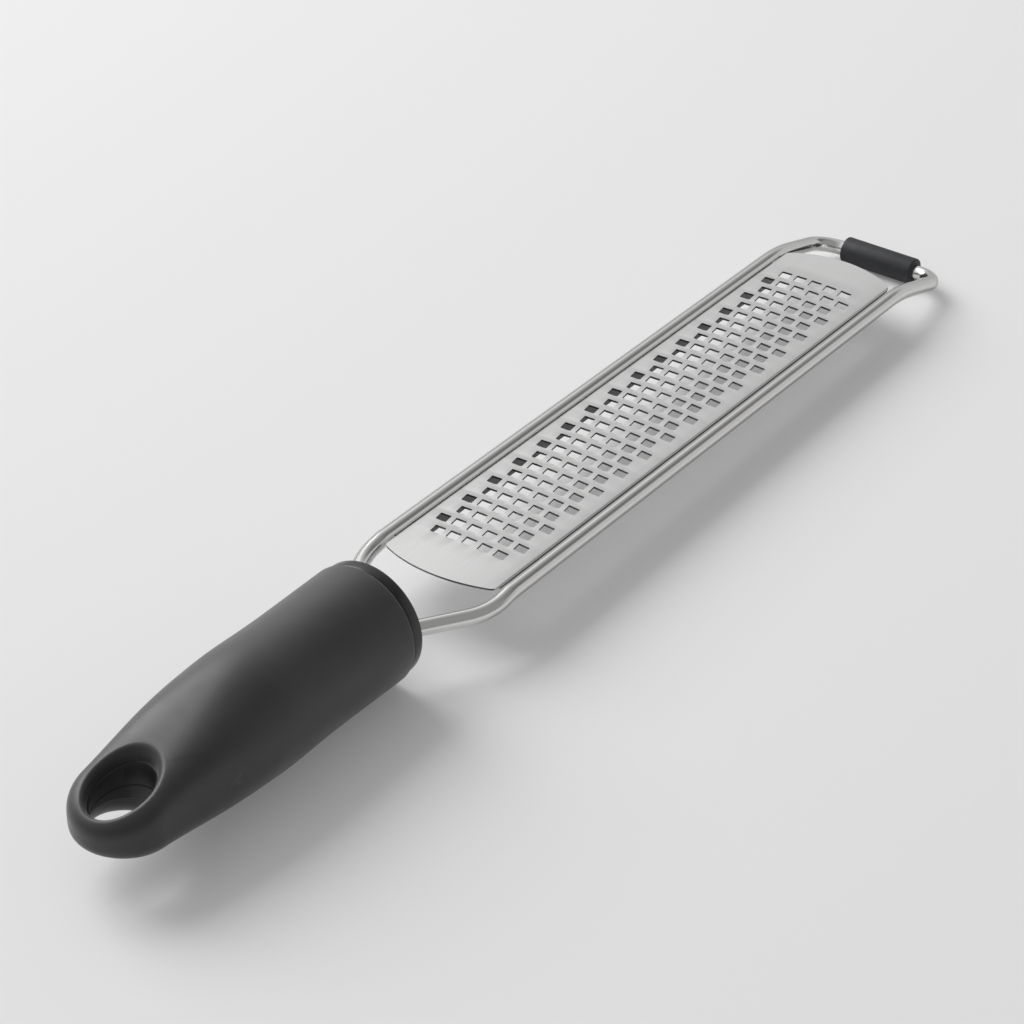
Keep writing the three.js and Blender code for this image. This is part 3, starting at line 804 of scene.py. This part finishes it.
uneven_tone = make_uneven_tone()
uneven_polish = make_uneven_polish()
grain = make_grain()


def new_finish(name, look):
    """A material around one Principled shader: colour, roughness and bump wander over the surface."""
    material = bpy.data.materials.new(name)
    material.use_nodes = True
    tree = material.node_tree
    shader = tree.nodes["Principled BSDF"]
    for socket, value in look.get("shader", {}).items():
        shader.inputs[socket].default_value = value
    if "attribute" in look:
        where = add_node(tree, "ShaderNodeAttribute", attribute_name=look["attribute"]).outputs["Vector"]
    else:
        where = add_node(tree, "ShaderNodeTexCoord").outputs["Object"]
    place = add_node(tree, "ShaderNodeMapping", {"Scale": look.get("stretch", (1, 1, 1))})
    tree.links.new(where, place.inputs["Vector"])
    tone = add_node(tree, "ShaderNodeGroup", {
        "Scale": look["tone_scale"], "Dark": (*look["dark"], 1), "Light": (*look["light"], 1),
    }, node_tree=uneven_tone)
    polish = add_node(tree, "ShaderNodeGroup", {
        "Scale": look["polish_scale"], "Low": look["polish"][0], "High": look["polish"][1],
    }, node_tree=uneven_polish)
    height = add_node(tree, "ShaderNodeGroup", {"Scale": look["grain_scale"]}, node_tree=grain)
    bump = add_node(tree, "ShaderNodeBump", {
        "Strength": look["grain_strength"], "Distance": look["grain_depth"],
    })
    for group in (tone, polish, height):
        tree.links.new(place.outputs["Vector"], group.inputs["Vector"])
    tree.links.new(tone.outputs["Color"], shader.inputs["Base Color"])
    tree.links.new(polish.outputs["Value"], shader.inputs["Roughness"])
    tree.links.new(height.outputs["Height"], bump.inputs["Height"])
    tree.links.new(bump.outputs["Normal"], shader.inputs["Normal"])
    return material


def paint_cut_shade(material):
    """Paints shade on the plate: darkens its cut faces, the inside of its flanges and the crevice along its
    right edge, where the side wire's shade falls.
    """
    tree = material.node_tree
    base = tree.nodes["Principled BSDF"].inputs["Base Color"]
    tone = base.links[0].from_socket
    cut = add_node(tree, "ShaderNodeAttribute", attribute_name="cut")
    where = add_node(tree, "ShaderNodeTexCoord")
    axes = add_node(tree, "ShaderNodeSeparateXYZ")
    rightward = add_node(tree, "ShaderNodeMath", operation="MULTIPLY")
    rightward.inputs[1].default_value = -1
    crevice = add_node(tree, "ShaderNodeMapRange", {
        "From Min": PLATE_CREVICE[0] * MM, "From Max": PLATE_CREVICE[1] * MM,
    })
    either = add_node(tree, "ShaderNodeMath", operation="MAXIMUM")
    mix = add_node(tree, "ShaderNodeMix", data_type="RGBA")
    mix.inputs["B"].default_value = (*CUT_SHADE_TONE, 1)
    tree.links.new(where.outputs["Object"], axes.inputs["Vector"])
    tree.links.new(axes.outputs["Y"], rightward.inputs[0])
    tree.links.new(rightward.outputs["Value"], crevice.inputs["Value"])
    tree.links.new(cut.outputs["Fac"], either.inputs[0])
    tree.links.new(crevice.outputs["Result"], either.inputs[1])
    tree.links.new(either.outputs["Value"], mix.inputs["Factor"])
    tree.links.new(tone, mix.inputs["A"])
    tree.links.new(mix.outputs["Result"], base)


satin_steel = new_finish("satin_steel", {
    "shader": {"Metallic": 1.0},
    "stretch": (80, 1600, 1600),
    "tone_scale": 1.0, "dark": (0.72, 0.72, 0.715), "light": (0.75, 0.75, 0.745),
    "polish_scale": 1.2, "polish": (0.27, 0.31),
    "grain_scale": 2.0, "grain_strength": 0.03, "grain_depth": 0.00004,
})
drawn_steel = new_finish("drawn_steel", {
    "shader": {"Metallic": 1.0, "Specular Tint": (0.6, 0.6, 0.6, 1)},
    "attribute": "around",
    "stretch": (1000, 1000, 1000),
    "tone_scale": 1.0, "dark": (0.72, 0.715, 0.705), "light": (0.79, 0.785, 0.775),
    "polish_scale": 2.0, "polish": (0.15, 0.21),
    "grain_scale": 3.0, "grain_strength": 0.05, "grain_depth": 0.00004,
})
tip_rubber = new_finish("tip_rubber", {
    "tone_scale": 400.0, "dark": (0.018, 0.019, 0.023), "light": (0.028, 0.029, 0.033),
    "polish_scale": 300.0, "polish": (0.50, 0.62),
    "grain_scale": 2500.0, "grain_strength": 0.25, "grain_depth": 0.00006,
})
collar_plastic = new_finish("collar_plastic", {
    "tone_scale": 200.0, "dark": (0.014, 0.014, 0.015), "light": (0.022, 0.022, 0.023),
    "polish_scale": 250.0, "polish": (0.26, 0.36),
    "grain_scale": 1800.0, "grain_strength": 0.08, "grain_depth": 0.00004,
})
core_plastic = new_finish("core_plastic", {
    "tone_scale": 200.0, "dark": (0.010, 0.010, 0.010), "light": (0.016, 0.016, 0.016),
    "polish_scale": 250.0, "polish": (0.45, 0.55),
    "grain_scale": 1800.0, "grain_strength": 0.1, "grain_depth": 0.00004,
})
soft_grip = new_finish("soft_grip", {
    "shader": {"Sheen Weight": 0.25, "Sheen Roughness": 0.5},
    "tone_scale": 120.0, "dark": (0.020, 0.020, 0.0213), "light": (0.026, 0.026, 0.0277),
    "polish_scale": 160.0, "polish": (0.40, 0.48),
    "grain_scale": 3000.0, "grain_strength": 0.3, "grain_depth": 0.00005,
})

# painted shade on the plate's cut faces, flange insides and right edge crevice
paint_cut_shade(satin_steel)
plate = finish_piece(
    press_plate(), "plate_pressed", "grater_plate", satin_steel, HARD_SHARP_DEG
)
eased = plate.modifiers.new("eased_edges", "BEVEL")
eased.width = PLATE_EDGE_EASE * MM
eased.segments = PLATE_EDGE_STEPS
eased.limit_method = "ANGLE"
eased.angle_limit = math.radians(PLATE_EDGE_SHARP_DEG)
eased.harden_normals = True
finish_piece(bend_wire(), "frame_wire", "wire_frame", drawn_steel, HARD_SHARP_DEG)
finish_piece(mould_sleeve(), "sleeve_rubber", "tip_sleeve", tip_rubber, INNER_SHARP_DEG)
finish_piece(turn_collar(), "collar_ring", "front_collar", collar_plastic, HARD_SHARP_DEG)
finish_piece(mould_core(), "core_moulding", "handle_core", core_plastic, INNER_SHARP_DEG)
finish_piece(mould_grip(), "grip_skin", "grip_sleeve", soft_grip, GRIP_SHARP_DEG)

# Camera at the photograph's angle, in the tool's own frame
CAMERA_PLACE = (-601.2, -396.8, 438.1)
CAMERA_FORWARD = (0.6763, 0.4951, -0.5454)
CAMERA_RIGHT = (0.5907, -0.8069, 0.0)
CAMERA_LENS = 118.9
CAMERA_SENSOR = 36
CAMERA_CLIP = (0.01, 100)

# Light: a room brighter towards its window side, a low wall, a fill and one large soft lamp.
# The room's tones go by the angle from straight up towards the window side, and the others by
# a direction's part along an axis: the wall's top by Z, its tones and the fill's reach by X
ROOM_TONES_DEG = ((-20, 0.17), (2, 0.36), (22, 0.56), (33, 0.74), (42, 1.02), (54, 1.38))
LOW_WALL_TOP = ((0.41, 1.0), (0.55, 0.0))
LOW_WALL_TONES = ((0.36, 0.32), (0.60, 0.62))
FILL_TONE = 0.32
FILL_REACH = ((0.36, 1.0), (0.55, 0.0))
FLOOR_HALF_SIZE = 6
FLOOR_TONE = 0.80
FLOOR_ROUGHNESS = 0.7
FLOOR_GLOSS = 0.2
FLOOR_GLOW = 0.12
KEY_PLACE = (0.16, 1.6, 1.28)  # the lamp and the floor are in metres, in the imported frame
KEY_SIZE = (1.4, 1.6)
KEY_POWER = 33


def set_camera():
    """A camera where the photograph was taken from."""
    turned = lean.to_3x3()
    forward = turned @ Vector(CAMERA_FORWARD).normalized()
    right = turned @ Vector(CAMERA_RIGHT)
    right = (right - forward * right.dot(forward)).normalized()
    up = right.cross(forward)
    data = bpy.data.cameras.new("photo_camera")
    data.lens = CAMERA_LENS
    data.sensor_width = CAMERA_SENSOR
    data.clip_start, data.clip_end = CAMERA_CLIP
    camera = bpy.data.objects.new("photo_camera", data)
    turn = Matrix((right, up, -forward)).transposed().to_4x4()
    camera.matrix_world = Matrix.Translation(lay_down @ Vector(CAMERA_PLACE)) @ turn
    bpy.context.scene.collection.objects.link(camera)
    bpy.context.scene.camera = camera


def pale_floor():
    """A matt pale floor with a faint glow of its own wherever it is looked at or mirrored."""
    material = bpy.data.materials.new("pale_floor")
    material.use_nodes = True
    tree = material.node_tree
    shader = tree.nodes["Principled BSDF"]
    shader.inputs["Base Color"].default_value = (FLOOR_TONE, FLOOR_TONE, FLOOR_TONE, 1)
    shader.inputs["Roughness"].default_value = FLOOR_ROUGHNESS
    shader.inputs["Specular IOR Level"].default_value = FLOOR_GLOSS
    seen = add_node(tree, "ShaderNodeLightPath")
    mirrored = add_node(tree, "ShaderNodeMath", operation="MAXIMUM")
    looked_at = add_node(tree, "ShaderNodeMath", operation="MAXIMUM")
    share = add_node(tree, "ShaderNodeMath", operation="MULTIPLY")
    share.inputs[1].default_value = FLOOR_GLOW
    glow = add_node(tree, "ShaderNodeEmission")
    mix = add_node(tree, "ShaderNodeMixShader")
    tree.links.new(seen.outputs["Is Glossy Ray"], mirrored.inputs[0])
    tree.links.new(seen.outputs["Is Transmission Ray"], mirrored.inputs[1])
    tree.links.new(seen.outputs["Is Camera Ray"], looked_at.inputs[0])
    tree.links.new(mirrored.outputs["Value"], looked_at.inputs[1])
    tree.links.new(looked_at.outputs["Value"], share.inputs[0])
    tree.links.new(share.outputs["Value"], mix.inputs["Fac"])
    tree.links.new(shader.outputs["BSDF"], mix.inputs[1])
    tree.links.new(glow.outputs["Emission"], mix.inputs[2])
    tree.links.new(mix.outputs["Shader"], tree.nodes["Material Output"].inputs["Surface"])
    return material


def lay_floor():
    """One wide, plain floor under the tool."""
    bm = bmesh.new()
    bmesh.ops.create_grid(bm, x_segments=1, y_segments=1, size=FLOOR_HALF_SIZE)
    mesh = bpy.data.meshes.new("floor")
    bm.to_mesh(mesh)
    bm.free()
    floor = bpy.data.objects.new("floor", mesh)
    bpy.context.scene.collection.objects.link(floor)
    mesh.materials.append(pale_floor())


def add_softbox(name, place, size, power):
    """A large soft lamp that looks at the middle of the object."""
    data = bpy.data.lights.new(name, "AREA")
    data.shape = "RECTANGLE"
    data.size, data.size_y = size
    data.energy = power
    lamp = bpy.data.objects.new(name, data)
    lamp.location = place
    lamp.rotation_mode = "QUATERNION"
    lamp.rotation_quaternion = (-Vector(place)).to_track_quat("-Z", "Y")
    bpy.context.scene.collection.objects.link(lamp)


def add_ramp(tree, along, tones):
    """Grey tones along a socket's value: (value, grey) each."""
    ramp = add_node(tree, "ShaderNodeValToRGB")
    stops = ramp.color_ramp.elements
    while len(stops) < len(tones):
        stops.new(1)
    for stop, (position, grey) in zip(stops, tones):
        stop.position = position
        stop.color = (grey, grey, grey, 1)
    tree.links.new(along, ramp.inputs["Fac"])
    return ramp.outputs["Color"]


def set_world():
    """A room brighter towards its window side, with a low wall and a fill of light."""
    world = bpy.data.worlds.new("studio")
    bpy.context.scene.world = world
    world.use_nodes = True
    tree = world.node_tree
    where = add_node(tree, "ShaderNodeTexCoord")
    axes = add_node(tree, "ShaderNodeSeparateXYZ")
    turn = add_node(tree, "ShaderNodeMath", operation="ARCTAN2")
    half_turn = add_node(tree, "ShaderNodeMapRange", {"From Min": -math.pi / 2, "From Max": math.pi / 2})
    tree.links.new(where.outputs["Generated"], axes.inputs["Vector"])
    tree.links.new(axes.outputs["Y"], turn.inputs[0])
    tree.links.new(axes.outputs["Z"], turn.inputs[1])
    tree.links.new(turn.outputs["Value"], half_turn.inputs["Value"])
    room_tones = [((turn_deg + 90) / 180, tone) for turn_deg, tone in ROOM_TONES_DEG]
    walled = add_node(tree, "ShaderNodeMix", data_type="RGBA")
    tree.links.new(add_ramp(tree, half_turn.outputs["Result"], room_tones), walled.inputs["A"])
    tree.links.new(add_ramp(tree, axes.outputs["X"], LOW_WALL_TONES), walled.inputs["B"])
    tree.links.new(add_ramp(tree, axes.outputs["Z"], LOW_WALL_TOP), walled.inputs["Factor"])
    filled = add_node(tree, "ShaderNodeMix", data_type="RGBA", blend_type="LIGHTEN")
    filled.inputs["B"].default_value = (FILL_TONE, FILL_TONE, FILL_TONE, 1)
    tree.links.new(walled.outputs["Result"], filled.inputs["A"])
    tree.links.new(add_ramp(tree, axes.outputs["X"], FILL_REACH), filled.inputs["Factor"])
    tree.links.new(filled.outputs["Result"], tree.nodes["Background"].inputs["Color"])


set_camera()
lay_floor()
set_world()
add_softbox("key_softbox", KEY_PLACE, KEY_SIZE, KEY_POWER)
bpy.context.scene.view_settings.view_transform = "Standard"
